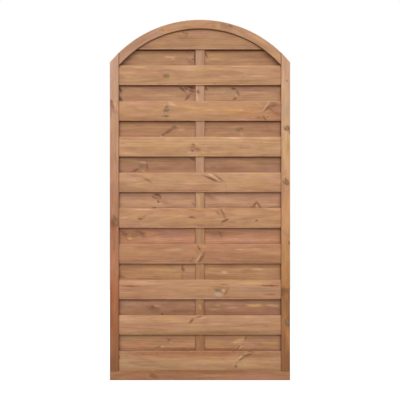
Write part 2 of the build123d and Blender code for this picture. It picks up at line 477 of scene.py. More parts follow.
def planed_timber(
    name, seed, start, turn, pith, wood, marks=(), knots=(), covered=(),
    under_arch=0.0, figure=0.45, underside=0.6,
):
    """Material of one piece of softwood.

    start is where its own frame begins, X along the grain, and turn is how far that is swung about Y.
    pith is the heart's place from there, behind the face and across it. wood is one colour, or
    colours by height for a piece that changes on its way up. Knots are (tint, place, radius) and
    marks (tint, strength, place, other end, half width). A covered strip (axis, low, high, reach,
    depth, side) is painted darker out to that reach on the piece's front (-1), its back (1) or both
    (0): painted shade beside or behind another piece or towards a lower edge, or a joint's dark line.
    under_arch is the depth of the painted shade under the arch rail, figure that of the rings and
    underside that of the painted shade on what faces down.
    """
    made = bpy.data.materials.new(name)
    tree = empty_tree(made)
    place = add_node(tree, "ShaderNodeTexCoord").outputs["Object"]
    at = add_node(tree, "ShaderNodeSeparateXYZ", {0: place}).outputs
    normal = add_node(tree, "ShaderNodeNewGeometry").outputs["Normal"]
    faces = add_node(tree, "ShaderNodeSeparateXYZ", {0: normal}).outputs
    grain_way = np.array([math.cos(turn), -math.sin(turn)])
    cross_way = np.array([math.sin(turn), math.cos(turn)])
    corner = np.array([cad_low[0] - start[0], panel_foot - start[2]])

    def within(vector, location, rotation):
        """A place in a frame that starts at the location and is turned by the rotation."""
        inputs = {"Vector": vector, "Location": location, "Rotation": rotation}
        return add_node(tree, "ShaderNodeMapping", inputs, vector_type="TEXTURE").outputs[0]

    def on_board(x, z):
        """A place given in millimetres from the panel's lower left corner, in the piece's frame."""
        offset = corner + np.array([x, z]) / 1e3
        return np.array([offset @ grain_way, offset @ cross_way])

    def on_face(point):
        """A place or a way on the face as a vector."""
        return (point[0], 0, point[1])

    # The wood's own colour, the marks on it and the knots through it
    board = within(place, start, (0, turn, 0))
    ragged = noise(tree, combine(tree, "MULTIPLY", board, edge_waves), float(seed), 4.0, 0.6)[0]
    if isinstance(wood, dict):
        height = calculate(tree, "DIVIDE", calculate(tree, "SUBTRACT", at["Z"], panel_foot), panel_height)
        ramp = add_node(tree, "ShaderNodeValToRGB", {"Fac": height})
        stops = ramp.color_ramp.elements
        stops.remove(stops[0])
        for number, (level, shown) in enumerate(sorted(wood.items())):
            stop = stops[0] if number == 0 else stops.new(level / 1e3 / panel_height)
            stop.position = level / 1e3 / panel_height
            stop.color = tone(*shown)
        colour = ramp.outputs[0]
    else:
        colour = tone(*wood)
    for tint, strength, x, z, far_x, far_z, half_width in marks:
        near_end, far_end = on_board(x, z), on_board(far_x, far_z)
        length = np.linalg.norm(far_end - near_end)
        way = (far_end - near_end) / length if length > 0 else np.array([1.0, 0.0])
        half = half_width / 1e3
        across = np.array([-way[1], way[0]])
        colour = use_group(tree, soft_mark, {
            "Place": board, "Colour": colour, "Ragged": ragged, "Middle": on_face((near_end + far_end) / 2),
            "Along": on_face(way / (length / 2 + half)), "Across": on_face(across / half),
            "Tint": tint, "Strength": strength,
        })[0]
    parting, nearness, tint = (0.0, 0.0, 0.0), no_knot_near, bark
    for own_tint, x, z, radius in knots:
        parting, nearness, tint = use_group(tree, branch_knot, {
            "Place": board, "Parting": parting, "Nearness": nearness, "Tint": tint,
            "Centre": on_face(on_board(x, z)), "Axis": branch_way, "Radius": radius / 1e3,
            "Own tint": own_tint,
        })
    lean = np.random.default_rng(seed).uniform(-most_lean, most_lean, 2)
    grain = within(combine(tree, "ADD", board, parting), (0, *pith), (0, *lean))

    # The darkening on it, the deepest of: end grain, dark of itself, and painted shade on what faces down, in
    # the strips and under the arch rail
    facing = combine(tree, "DOT_PRODUCT", normal, on_face(grain_way), result="Value")
    end_grain = ease(tree, calculate(tree, "ABSOLUTE", facing), *end_facing)
    shades = [calculate(tree, "MULTIPLY", ease(tree, faces["Z"], *down_facing), underside)]
    for axis, low, high, reach, depth, side in covered:
        middle = (low + high) / 2 / 1e3 + (panel_foot if axis == "Z" else cad_low[0])
        half = (high - low) / 2 / 1e3
        away = calculate(tree, "ABSOLUTE", calculate(tree, "SUBTRACT", at[axis], middle))
        strip = calculate(tree, "MULTIPLY", ease(tree, away, half + reach / 1e3, half), depth)
        if side:
            on_side = ease(tree, faces["Y"], side_facing[0] * side, side_facing[1] * side)
            strip = calculate(tree, "MULTIPLY", strip, on_side)
        shades.append(strip)
    if under_arch > 0:
        inside = arch_radius - face_width
        sideways = calculate(tree, "SUBTRACT", at["X"], panel_middle)
        above = calculate(tree, "MAXIMUM", calculate(tree, "SUBTRACT", at["Z"], arch_centre), 0.0)
        from_centre = add_node(tree, "ShaderNodeCombineXYZ", {0: sideways, 2: above}).outputs[0]
        from_centre = combine(tree, "LENGTH", from_centre, result="Value")
        strip = ease(tree, from_centre, inside - arch_shade_reach, inside)
        shades.append(calculate(tree, "MULTIPLY", strip, under_arch))
    shade = calculate(tree, "MULTIPLY", end_grain, end_shade)
    for other in shades:
        shade = calculate(tree, "MAXIMUM", shade, other)

    timber = use_group(tree, planed_softwood, {
        "Grain": grain, "Place": board, "Nearness": nearness, "Knot tint": tint, "Ring width": ring_width,
        "Wood": colour, "Figure": figure, "Seed": float(seed), "Shade": shade,
    })
    relief = {"Height": timber["Height"], "Strength": relief_strength, "Distance": grain_relief}
    surface = add_node(tree, "ShaderNodeBsdfPrincipled", {
        "Base Color": timber["Colour"], "Roughness": timber["Roughness"], "Specular IOR Level": wood_shine,
        "Normal": add_node(tree, "ShaderNodeBump", relief).outputs[0],
    })
    add_node(tree, "ShaderNodeOutputMaterial", {"Surface": surface.outputs[0]})
    return made


def rail_place(inwards, depth, share, start, end):
    """A point of the bottom rail: straight along X, the outer face down."""
    return start + (end - start) * share, depth, panel_foot + inwards


# The long brown and umber lines along its top are painted shade where the lowest slat stands in the rail
rail_marks = [
    (umber, 0.6, 205, 28, 235, 14, 12), (olive, 0.6, 10, 12, 100, 12, 8), (brown, 0.95, 40, 38, 870, 38, 8),
    (umber, 0.4, 60, 42, 850, 42, 4), (rust, 0.7, 60, 40, 155, 40, 5), (rust, 0.6, 425, 38, 600, 38, 5),
    (straw, 0.4, 425, 22, 570, 24, 6), (rose, 0.7, 604, 20, 895, 14, 12),
]
rail_knots = [(umber, 219, 24, 8)]
rail_wood = (164, 116, 84)
rail_start = (0, 0, panel_foot)
rail_pith = (0.05, -0.02)
rail_timber = planed_timber(
    "bottom_rail_timber", 11, rail_start, 0.0, rail_pith, rail_wood, rail_marks, rail_knots
)
section = moulding_section()
rail_shell = bar_along(section, rail_low[0], rail_high[0], frame_stations, rail_place)
rail = add_timber("rail_at_foot", [rail_shell], rail_timber)
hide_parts("bottom_rail")

# The stiles
# Two uprights of the same moulding. Each stands on the bottom rail with a stub tenon in its groove,
# and its top is sawn to the curve of the arch.
tongue_half = groove_half - clearance
seat = groove_floor + clearance  # where what sits in a groove ends, from the panel's outside
foot_line = panel_foot + face_width
stile_stations = 90
tenon_stations = 2
stile_pith = (0.06, 0.02)
upright_turn = math.radians(-90)  # of the grain, from along the panel to up it
upright_figure = 0.3
stile_start = (cad_low[0], 0, foot_line)


def arch_height(x, radius):
    """Height of a circle of the arch at x, by the root of radius squared less distance squared."""
    return arch_centre + np.sqrt(np.maximum(radius**2 - (x - panel_middle) ** 2, 0))


def block(low, high):
    """Chains of a tenon's section, a plain block: a front and a back corner at either end of its width."""
    outer = np.array([(low, -tongue_half), (low, tongue_half)])
    inner = np.array([(high, -tongue_half), (high, tongue_half)])
    return outer, inner


def stile_shells(side):
    """A stile and its foot tenon. side is 1 on the left, where inwards is +X, and -1 on the right."""
    outside = cad_low[0] if side > 0 else cad_high[0]

    def upright(inwards, depth, share, start, end):
        """A point of the stile: straight up, to the arch where no end is given."""
        x = outside + side * inwards
        top = arch_height(x, arch_radius) if end is None else end
        return x, depth, start + (top - start) * share

    body = bar_along(section, foot_line, None, stile_stations, upright)
    tenon = bar_along(block(0, groove_floor), panel_foot + seat, foot_line, tenon_stations, upright)
    return [body, tenon]


stile_figure = {
    "left": ({
        60: (138, 89, 55), 420: (166, 101, 64), 560: (180, 123, 91), 780: (166, 113, 85),
        1000: (184, 136, 106), 1350: (188, 145, 118), 1700: (212, 172, 144),
    }, [
        (umber, 0.85, 2, 1390, 8, 1365, 8), (brown, 0.85, 8, 1394, 12, 1362, 9),
        (umber, 0.8, 4, 1398, 12, 1390, 5), (mauve, 0.8, 4, 1366, 5, 1308, 8),
        (rose, 0.6, 12, 1345, 38, 1338, 12), (brown, 0.8, 14, 1374, 18, 1352, 7),
        (cream, 0.7, 26, 1382, 28, 1370, 6), (cream, 0.6, 33, 1407, 33, 1406, 5),
        (brick, 0.8, 10, 800, 16, 762, 12), (bark, 0.9, 20, 822, 24, 812, 7),
        (brown, 0.6, 12, 752, 20, 700, 14), (bark, 0.9, 33, 785, 36, 779, 4),
        (straw, 0.7, 36, 797, 37, 790, 4), (straw, 0.6, 38, 766, 38, 740, 4), (rust, 0.6, 8, 480, 8, 250, 9),
        (brown, 0.6, 10, 230, 14, 100, 12), (umber, 0.5, 2, 150, 3, 420, 7),
        (brown, 0.5, 42, 140, 42, 420, 5), (orange, 0.5, 30, 985, 30, 1040, 9),
        (orange, 0.4, 24, 560, 24, 640, 9), (umber, 0.8, 36, 808, 40, 780, 6), (umber, 0.5, 4, 70, 4, 130, 8),
        (bark, 0.9, 22, 814, 28, 798, 7), (moss, 0.95, 29, 800, 34, 780, 9),
        (rust, 0.35, 30, 790, 26, 740, 20), (pink, 0.4, 22, 860, 24, 825, 18),
        (copper, 0.3, 24, 440, 26, 300, 12), (umber, 0.7, 16, 796, 24, 766, 7),
        (straw, 0.5, 34, 1650, 36, 1625, 8),
    ], [(drab, 31, 792, 8)]),
    "right": ({
        80: (138, 93, 56), 300: (166, 116, 70), 455: (140, 97, 56), 464: (178, 128, 76), 800: (198, 148, 104),
        1100: (206, 164, 122), 1700: (212, 172, 141),
    }, [
        (gold, 0.85, 889, 1212, 889, 1115, 14), (pink, 0.7, 868, 1234, 868, 1190, 8),
        (pale, 0.45, 876, 1430, 876, 1300, 16), (amber, 0.95, 889, 935, 891, 820, 11),
        (gold, 0.7, 886, 820, 890, 765, 11), (pink, 0.5, 868, 1050, 872, 1020, 9),
        (cream, 0.8, 872, 1020, 873, 1014, 5), (bark, 0.8, 877, 982, 888, 978, 5),
        (moss, 0.8, 876, 1008, 881, 988, 7), (mauve, 0.6, 868, 748, 882, 722, 11),
        (copper, 0.85, 874, 578, 877, 530, 10), (ochre, 0.7, 886, 690, 886, 600, 9),
        (umber, 0.8, 862, 46, 896, 46, 3), (copper, 0.8, 888, 268, 888, 160, 12),
        (bark, 0.9, 886, 286, 893, 276, 6), (umber, 0.8, 897, 1243, 898, 1232, 6),
        (brown, 0.8, 888, 990, 890, 978, 8), (mauve, 0.6, 868, 990, 868, 925, 8),
        (umber, 0.85, 864, 462, 862, 425, 10), (copper, 0.5, 880, 430, 882, 405, 9),
        (bark, 0.95, 893, 694, 897, 676, 4), (umber, 0.7, 876, 300, 884, 280, 9),
        (bark, 0.7, 892, 1266, 897, 1250, 6), (brown, 0.7, 872, 1266, 874, 1252, 8),
        (umber, 0.6, 866, 996, 872, 980, 6), (umber, 0.6, 892, 340, 893, 260, 6),
        (brown, 0.6, 860, 180, 861, 110, 8), (bark, 0.8, 874, 1257, 876, 1252, 3),
        (bark, 0.8, 890, 1262, 894, 1248, 4), (pale, 0.6, 882, 1268, 884, 1262, 5),
        (olive, 0.7, 880, 302, 884, 296, 5),
    ], [(rust, 882, 1497, 3), (drab, 884, 1260, 8), (drab, 882, 992, 8), (moss, 885, 294, 9)]),
}
for name, side, seed in (("left", 1, 21), ("right", -1, 22)):
    wood, marks, knots = stile_figure[name]
    stile_timber = planed_timber(
        f"{name}_stile_timber", seed, stile_start, upright_turn, stile_pith, wood, marks, knots,
        figure=upright_figure,
    )
    stile = add_timber(f"stile_{name}", stile_shells(side), stile_timber)
    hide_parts(f"{name}_stile")

# The arch rail
# Three boards finger-jointed end to end, then sawn and moulded to the arch, so that the grain runs
# straight along each one. The ends butt against the stiles, with tenons in their grooves.
joint_angles = (math.radians(-20.0), math.radians(10.2))
finger_length = 0.016
finger_count = 5
arch_pith = (0.07, -0.05)


def fingers(depth):
    """How far the joint's line runs on at a place through the depth: a zigzag between the cheeks."""
    phase = (depth / tongue_half + 1) / 2 * finger_count
    inside = np.abs(depth) < tongue_half
    return np.where(inside, (1 - np.abs(2 * (phase % 1) - 1)) * finger_length, 0.0)


def arch_place(inwards, depth, share, start, end):
    """A point of the arch: an angle between two ends, which are angles of joints or a stile's face."""
    radius = arch_radius - inwards
    ends = []
    for edge in (start, end):
        if edge in joint_angles:
            ends.append(edge + fingers(depth) / radius)
        else:
            ends.append(np.arcsin((edge - panel_middle) / radius) + 0 * depth)
    angle = ends[0] + (ends[1] - ends[0]) * share
    return panel_middle + radius * np.sin(angle), depth + 0 * angle, arch_centre + radius * np.cos(angle)


stile_faces = (cad_low[0] + face_width, cad_high[0] - face_width)
arch_edges = (stile_faces[0], *joint_angles, stile_faces[1])
# A dark line, front and back, where each end butts against its stile
line_width, line_reach, line_depth = 1, 3.5, 1.0
joint_lines = [
    ("X", edge, edge + line_width, line_reach, line_depth, side) for edge in (44, 855) for side in (-1, 1)
]
first_arch_seed = 31
arch_figure = {
    "left": ((192, 149, 119), [
        (grey, 0.5, 60, 1660, 240, 1768, 9), (pink, 0.5, 205, 1722, 240, 1704, 10),
        (amber, 0.6, 172, 1708, 180, 1712, 9), (yellow, 0.9, 250, 1752, 260, 1752, 9),
        (umber, 0.6, 266, 1734, 268, 1726, 4),
    ], []),
    "middle": ((197, 151, 112), [
        (amber, 0.5, 270, 1750, 300, 1756, 10), (gold, 0.6, 392, 1776, 475, 1778, 12),
        (olive, 0.9, 256, 1752, 266, 1748, 7), (pink, 0.7, 440, 1794, 505, 1793, 6),
        (mauve, 0.6, 513, 1768, 525, 1765, 8), (straw, 0.2, 530, 1768, 546, 1766, 9),
    ], []),
    "right": ((192, 147, 112), [
        (brown, 0.6, 554, 1776, 604, 1758, 14), (umber, 0.7, 596, 1775, 610, 1764, 5),
        (blush, 0.95, 694, 1724, 706, 1721, 9), (amber, 0.8, 718, 1716, 732, 1712, 7),
        (gold, 0.7, 830, 1622, 852, 1598, 10),
    ], []),
}
for number, (name, (wood, marks, knots)) in enumerate(arch_figure.items()):
    start, end = arch_edges[number], arch_edges[number + 1]
    angles = [e if e in joint_angles else math.asin((e - panel_middle) / arch_radius) for e in (start, end)]
    turn = sum(angles) / 2
    inner_radius = arch_radius - face_width
    on_rail = (panel_middle + inner_radius * math.sin(turn), 0, arch_centre + inner_radius * math.cos(turn))
    arch_timber = planed_timber(
        f"arch_{name}_timber", first_arch_seed + number, on_rail, turn, arch_pith, wood, marks, knots,
        joint_lines,
    )
    shells = [bar_along(section, start, end, frame_stations, arch_place)]
    for edge, seat_x in ((start, cad_low[0] + seat), (end, cad_high[0] - seat)):
        if edge in stile_faces:
            shells.append(bar_along(block(0, groove_floor), seat_x, edge, tenon_stations, arch_place))
    arch_piece = add_timber(f"arch_piece_{name}", shells, arch_timber)
    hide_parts(f"arch_rail_{name}")

# The batten
# A thin planed upright in the middle of the panel, its foot and its head in the frame's grooves.
# The front slats are nailed to its front and the back ones to its back.
batten_low, batten_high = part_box("middle_batten")
batten_arris = 0.001
batten_steps = 4
batten_pith = (0.05, 0.02)


def batten_section():
    """Chains of the batten's section: (place across, place through the depth), its edges eased."""
    half_across = (batten_high[0] - batten_low[0]) / 2
    half = (batten_high[1] - batten_low[1]) / 2
    left_front = arc_corner((-half_across, -half), (-half_across, 0), (0, -half), batten_arris, batten_steps)
    front = np.vstack([left_front, left_front[::-1] * (-1, 1)])
    return front, front * (1, -1)


def batten_place(across, depth, share, start, end):
    """A point of the batten: upright, its top under the arch."""
    x = panel_middle + across
    top = arch_height(x, arch_radius - seat)
    return x, depth, start + (top - start) * share


batten_marks = [
    (umber, 0.75, 432, 1447, 448, 1442, 6), (umber, 0.6, 440, 1454, 441, 1436, 4),
    (cream, 0.8, 436, 1424, 438, 1396, 9), (pink, 0.5, 458, 1450, 458, 1400, 9),
    (honey, 0.4, 440, 930, 442, 870, 9), (umber, 0.6, 469, 400, 470, 330, 7),
    (straw, 0.5, 447, 374, 452, 356, 8), (rust, 0.6, 438, 396, 458, 376, 4),
    (orange, 0.5, 442, 200, 444, 160, 9), (brown, 0.6, 466, 215, 466, 150, 7),
]
batten_knots = [(brown, 440, 1445, 5)]
batten_wood = {186: (150, 107, 69), 540: (169, 123, 88), 900: (177, 137, 102), 1260: (188, 146, 115)}
batten_start = (panel_middle, batten_low[1], panel_foot)
batten_timber = planed_timber(
    "batten_timber", 41, batten_start, upright_turn, batten_pith, batten_wood, batten_marks, batten_knots,
    figure=upright_figure,
)
batten_shell = bar_along(batten_section(), batten_low[2], None, frame_stations, batten_place)
batten = add_timber("batten_upright", [batten_shell], batten_timber)
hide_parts("middle_batten")

# The slats
# Planed boards with a shallow crown on the face that shows and a flat back against the batten.
# Front and back ones alternate and lap. The highest are scribed to the arch.
slat_thickness = slat_high[1] - slat_low[1]
slat_crown = 0.0040
slat_edge = slat_thickness - slat_crown
slat_arris = 0.0020
back_arris = 0.0008
corner_rise = 0.11  # of the crown, over three arrises from an edge
corner_steps = 4
face_steps = 15
slat_stations = 140
least_height = 0.002  # of a slat where the arch cuts it off


def crown_height(share):
    """How far a face stands proud of its edges at a share of its width: a parabola."""
    return slat_crown * (1 - (2 * share - 1) ** 2)


def slat_section(width):
    """Chains of a slat's section: (height above its lower edge, distance out from its flat back)."""
    beside = (slat_arris * 3, slat_edge + slat_crown * corner_rise)
    low_corner = arc_corner((0, slat_edge), (0, 0), beside, slat_arris, corner_steps)[:-1]
    heights = slat_arris + (width - 2 * slat_arris) * np.linspace(0, 1, face_steps)[:, None]
    face = np.hstack([heights, slat_edge + crown_height(heights / width)])
    face = np.vstack([low_corner, face, (low_corner * (-1, 1) + (width, 0))[::-1]])
    back_corner = arc_corner((0, 0), (0, slat_edge), (width / 2, 0), back_arris, corner_steps)
    steps = np.linspace(back_arris, width - back_arris, len(face) - 2 * len(back_corner) + 2)[1:-1]
    flat = np.column_stack([steps, 0 * steps])
    return face, np.vstack([back_corner, flat, (back_corner * (-1, 1) + (width, 0))[::-1]])


def slat_shell(low, high, side):
    """A slat as a sheet of sections along X. side is -1 for a front slat and 1 for a back one.

    Under the arch its height is cut down to the curve, and the face's crown is kept where it was.
    """
    width = high[2] - low[2]
    flat_back = high[1] if side < 0 else low[1]
    x = np.linspace(low[0], high[0], slat_stations)[:, None]
    room = np.minimum(arch_height(x, arch_radius - seat) - low[2], width)
    room = np.maximum(room, least_height)
    chains = []
    for chain in slat_section(width):
        height, out = chain[:, 0][None, :], chain[:, 1][None, :]
        z = low[2] + np.minimum(height, width) / width * room
        recrowned = out - crown_height(height / width) + crown_height((z - low[2]) / width)
        y = flat_back + side * np.where(out > slat_edge / 2, recrowned, out)
        chains.append(np.stack(np.broadcast_arrays(x, y, z), axis=-1))
    return tuple(chains)


# For each slat from the lowest up: its wood, the pith behind its face and across it, its marks, its knots
front_figure = [
    ((178, 138, 102), (0.075, 0.05), [
        (russet, 0.95, 45, 130, 856, 129, 17), (brown, 0.8, 45, 137, 856, 136, 11),
        (straw, 0.4, 45, 94, 856, 92, 18), (brown, 0.7, 700, 126, 856, 122, 10),
        (rust, 0.6, 92, 126, 267, 125, 4), (straw, 0.35, 425, 88, 856, 86, 14),
        (olive, 0.35, 180, 90, 330, 84, 16), (grey, 0.3, 60, 100, 180, 70, 20),
        (umber, 0.3, 45, 134, 240, 132, 11), (brown, 0.5, 650, 122, 856, 120, 16),
        # The rust lines along its foot are painted shade where it meets the rail
        (straw, 0.3, 600, 72, 856, 70, 12), (rust, 0.5, 45, 44, 856, 44, 3),
        (orange, 0.35, 292, 56, 475, 56, 7), (rust, 0.55, 45, 45, 860, 46, 5),
        (brown, 0.5, 675, 54, 840, 54, 3), (grey, 0.5, 704, 141, 644, 100, 10),
        (umber, 0.9, 712, 134, 671, 115, 7), (umber, 0.8, 671, 115, 646, 98, 5),
        (umber, 0.8, 680, 147, 712, 143, 6), (pale, 0.7, 684, 138, 633, 102, 5),
        (umber, 0.7, 680, 128, 668, 120, 6), (brown, 0.8, 820, 130, 856, 126, 10),
        (drab, 0.7, 664, 127, 672, 121, 7), (olive, 0.5, 640, 96, 628, 78, 5),
        (cream, 0.6, 618, 71, 620, 71, 5), (bark, 0.7, 45, 122, 46, 108, 6),
    ], [(umber, 629, 69, 5)]),
    ((186, 142, 106), (0.06, 0.03), [
        (pink, 0.6, 45, 312, 140, 290, 18), (brown, 0.5, 45, 236, 856, 234, 14),
        (straw, 0.5, 250, 300, 420, 296, 12), (straw, 0.6, 487, 282, 562, 282, 4),
        (cream, 0.45, 650, 291, 825, 293, 5), (brown, 0.7, 772, 269, 792, 269, 3),
        (cream, 0.6, 440, 306, 480, 314, 5), (umber, 0.9, 400, 287, 414, 304, 8),
        (umber, 0.85, 429, 311, 462, 321, 5), (brown, 0.35, 500, 252, 700, 248, 10),
        (straw, 0.4, 600, 262, 680, 262, 4),
    ], []),
    ((188, 142, 105), (0.05, 0.06), [
        (cream, 0.6, 46, 488, 300, 482, 12), (brick, 0.85, 46, 470, 148, 470, 5),
        (mauve, 0.8, 52, 455, 128, 455, 8), (yellow, 0.8, 58, 438, 128, 438, 6),
        (orange, 0.35, 45, 412, 420, 413, 7), (straw, 0.7, 590, 488, 850, 485, 8),
        (brick, 0.9, 745, 472, 856, 472, 5), (grey, 0.7, 604, 455, 850, 448, 14),
        (orange, 0.8, 600, 411, 856, 410, 7), (rust, 0.6, 775, 428, 830, 428, 6),
        (drab, 0.5, 524, 462, 586, 452, 16), (pale, 0.9, 532, 436, 552, 424, 16),
        (pale, 0.8, 564, 450, 568, 442, 6), (brown, 0.8, 592, 462, 576, 430, 6),
        (brown, 0.7, 548, 478, 595, 476, 5), (drab, 0.6, 526, 450, 552, 446, 9),
        (cream, 0.7, 568, 450, 572, 446, 6),
    ], [(moss, 538, 448, 6)]),
    ((182, 133, 97), (0.045, 0.02), [
        (pink, 0.35, 46, 668, 120, 664, 10), (grey, 0.6, 312, 670, 390, 669, 7),
        (straw, 0.5, 270, 651, 365, 653, 8), (rose, 0.5, 200, 600, 420, 598, 16),
        (orange, 0.3, 330, 620, 430, 618, 14), (cream, 0.9, 629, 653, 671, 653, 3),
        (straw, 0.6, 671, 654, 790, 653, 6), (gold, 0.6, 760, 637, 850, 636, 8),
        (rose, 0.6, 480, 622, 560, 596, 16), (brown, 0.3, 560, 605, 850, 600, 14),
        (brown, 0.7, 395, 586, 420, 614, 7), (umber, 0.8, 474, 636, 440, 584, 9),
        (cream, 0.9, 453, 628, 430, 590, 5), (umber, 0.85, 440, 668, 452, 648, 7),
        (pink, 0.8, 455, 668, 478, 664, 7), (brown, 0.6, 428, 650, 440, 640, 7),
    ], []),
    ((190, 143, 104), (0.08, 0.07), [
        (cream, 0.9, 112, 853, 229, 853, 4), (cream, 0.95, 48, 812, 90, 812, 4),
        (pink, 0.7, 50, 776, 185, 774, 10), (pink, 0.7, 142, 794, 171, 786, 7),
        (brown, 0.8, 142, 810, 162, 806, 8), (brown, 0.6, 160, 812, 176, 820, 7),
        (brown, 0.8, 392, 815, 420, 815, 7), (umber, 0.5, 412, 812, 428, 810, 5),
        (mauve, 0.8, 433, 772, 471, 772, 7), (yellow, 0.6, 392, 790, 475, 790, 7),
        (orange, 0.4, 350, 836, 440, 834, 7), (brown, 0.85, 553, 858, 580, 803, 7),
        (cream, 0.7, 566, 856, 572, 846, 4), (brown, 0.6, 533, 842, 548, 828, 7),
        (straw, 0.7, 525, 808, 562, 808, 4), (umber, 0.95, 560, 790, 592, 805, 8),
        (brown, 0.75, 592, 790, 626, 791, 6), (straw, 0.6, 570, 778, 576, 766, 6),
        (cream, 0.5, 745, 803, 750, 803, 4), (straw, 0.5, 800, 804, 850, 800, 5),
    ], [(umber, 150, 806, 4), (umber, 408, 815, 4), (umber, 733, 798, 4)]),
    ((194, 149, 111), (0.04, 0.04), [
        (mauve, 0.75, 92, 1027, 158, 1018, 8), (pink, 0.6, 58, 1005, 150, 996, 14),
        (brown, 0.8, 171, 1008, 206, 990, 7), (straw, 0.8, 225, 981, 308, 981, 4),
        (rose, 0.45, 250, 948, 560, 948, 8), (brown, 0.3, 46, 958, 180, 955, 12),
        (cream, 0.5, 400, 1030, 460, 1030, 5), (brown, 0.6, 455, 1026, 480, 1020, 4),
        (umber, 0.95, 478, 1018, 534, 996, 8), (cream, 0.95, 494, 1031, 514, 1020, 6),
        (brown, 0.85, 520, 1030, 568, 994, 7), (brown, 0.6, 530, 992, 565, 990, 5),
        (cream, 0.7, 510, 1022, 548, 998, 4), (cream, 0.7, 587, 1034, 750, 1034, 3),
        (pink, 0.7, 775, 1016, 854, 1012, 12), (gold, 0.8, 746, 988, 833, 988, 5),
        (olive, 0.4, 578, 985, 581, 950, 5),
    ], []),
    ((197, 153, 112), (0.07, 0.09), [
        (cream, 0.7, 46, 1212, 856, 1212, 4), (cream, 0.9, 275, 1208, 300, 1208, 5),
        (pink, 0.5, 96, 1209, 140, 1208, 6), (gold, 0.5, 133, 1175, 342, 1165, 22),
        (brown, 0.4, 52, 1184, 76, 1184, 4), (cream, 0.6, 46, 1137, 112, 1135, 8),
        (cream, 0.9, 583, 1210, 650, 1210, 5), (cream, 0.9, 729, 1209, 792, 1209, 5),
        (straw, 0.8, 487, 1176, 629, 1177, 4), (gold, 0.8, 733, 1187, 783, 1184, 6),
        (brown, 0.6, 757, 1190, 762, 1190, 3), (mauve, 0.8, 462, 1161, 587, 1159, 8),
        (mauve, 0.7, 640, 1163, 710, 1162, 6), (honey, 0.95, 455, 1137, 612, 1143, 6),
        (rose, 0.7, 395, 1160, 450, 1150, 14), (umber, 0.85, 414, 1178, 420, 1176, 6),
        (umber, 0.9, 409, 1149, 416, 1147, 6), (brown, 0.85, 434, 1154, 448, 1152, 8),
        (honey, 0.95, 430, 1182, 438, 1178, 7), (cream, 0.8, 390, 1138, 402, 1137, 6),
        (honey, 0.95, 464, 1140, 474, 1136, 7), (brown, 0.5, 405, 1168, 440, 1160, 12),
    ], []),
    ((193, 146, 106), (0.05, 0.01), [
        (pink, 0.5, 54, 1385, 260, 1378, 12), (cream, 0.85, 294, 1388, 326, 1374, 10),
        (gold, 0.8, 354, 1372, 408, 1372, 10), (gold, 0.8, 208, 1352, 262, 1350, 6),
        (straw, 0.5, 150, 1360, 210, 1358, 4), (gold, 0.55, 392, 1350, 475, 1348, 18),
        (honey, 0.8, 471, 1351, 529, 1351, 6), (amber, 0.9, 533, 1346, 742, 1338, 15),
        (honey, 0.7, 650, 1351, 672, 1351, 6), (straw, 0.6, 733, 1384, 762, 1370, 9),
        (russet, 0.6, 830, 1350, 856, 1315, 22), (brown, 0.6, 805, 1376, 856, 1368, 16),
        (brown, 0.5, 805, 1345, 856, 1338, 18), (rose, 0.6, 818, 1364, 856, 1350, 20),
        (brown, 0.85, 790, 1362, 812, 1350, 10), (umber, 0.75, 800, 1372, 768, 1345, 9),
        (umber, 0.6, 800, 1366, 830, 1376, 8), (brown, 0.8, 792, 1387, 856, 1386, 4),
        (cream, 0.95, 798, 1395, 764, 1346, 5), (brown, 0.75, 733, 1313, 755, 1312, 6),
        (umber, 0.85, 765, 1319, 780, 1301, 6), (umber, 0.6, 787, 1316, 789, 1315, 4),
        (pink, 0.6, 604, 1303, 725, 1303, 6), (rose, 0.4, 60, 1312, 250, 1310, 12),
        (olive, 0.6, 281, 1380, 281, 1308, 12), (brown, 0.7, 258, 1323, 270, 1321, 5),
        (moss, 0.8, 270, 1347, 296, 1350, 6), (moss, 0.7, 272, 1320, 292, 1320, 6),
        (cream, 0.8, 275, 1382, 274, 1366, 4), (cream, 0.6, 281, 1338, 282, 1330, 4),
    ], [(moss, 283, 1366, 5), (moss, 280, 1349, 7), (moss, 281, 1321, 5)]),
    ((193, 149, 110), (0.09, 0.05), [
        (cream, 0.7, 131, 1565, 169, 1565, 4), (cream, 0.5, 325, 1571, 470, 1567, 4),
        (yellow, 0.5, 425, 1562, 508, 1556, 8), (cream, 0.7, 612, 1570, 717, 1568, 5),
        (rose, 0.45, 192, 1556, 308, 1548, 16), (rose, 0.6, 250, 1542, 262, 1538, 6),
        (straw, 0.6, 75, 1519, 112, 1517, 5), (cream, 0.5, 160, 1506, 240, 1505, 5),
        (olive, 0.6, 112, 1496, 242, 1495, 6), (straw, 0.5, 308, 1512, 392, 1502, 5),
        (yellow, 0.7, 276, 1502, 292, 1500, 9), (ochre, 0.85, 285, 1485, 856, 1483, 7),
        (pink, 0.5, 50, 1481, 260, 1480, 5), (peach, 0.6, 300, 1477, 856, 1477, 3),
        (cream, 0.75, 533, 1519, 612, 1518, 4), (cream, 0.85, 692, 1520, 771, 1520, 5),
        (brown, 0.6, 662, 1517, 668, 1516, 3), (olive, 0.5, 629, 1498, 854, 1496, 5),
        (rose, 0.35, 815, 1550, 856, 1540, 10), (moss, 0.85, 272, 1521, 290, 1521, 8),
    ], [(moss, 281, 1521, 8)]),
    ((181, 137, 100), (0.05, 0.07), [
        (rose, 0.55, 396, 1735, 520, 1733, 14), (brown, 0.35, 345, 1720, 372, 1700, 14),
        (rose, 0.6, 154, 1668, 208, 1666, 10), (brown, 0.5, 285, 1695, 292, 1695, 5),
        (straw, 0.35, 215, 1694, 300, 1685, 12), (rose, 0.5, 675, 1672, 737, 1668, 10),
        (brown, 0.85, 366, 1740, 374, 1730, 8), (umber, 0.7, 382, 1737, 388, 1729, 5),
        (brown, 0.7, 389, 1728, 377, 1718, 4), (rose, 0.8, 373, 1714, 381, 1714, 6),
        (straw, 0.3, 250, 1664, 700, 1664, 6),
    ], []),
]
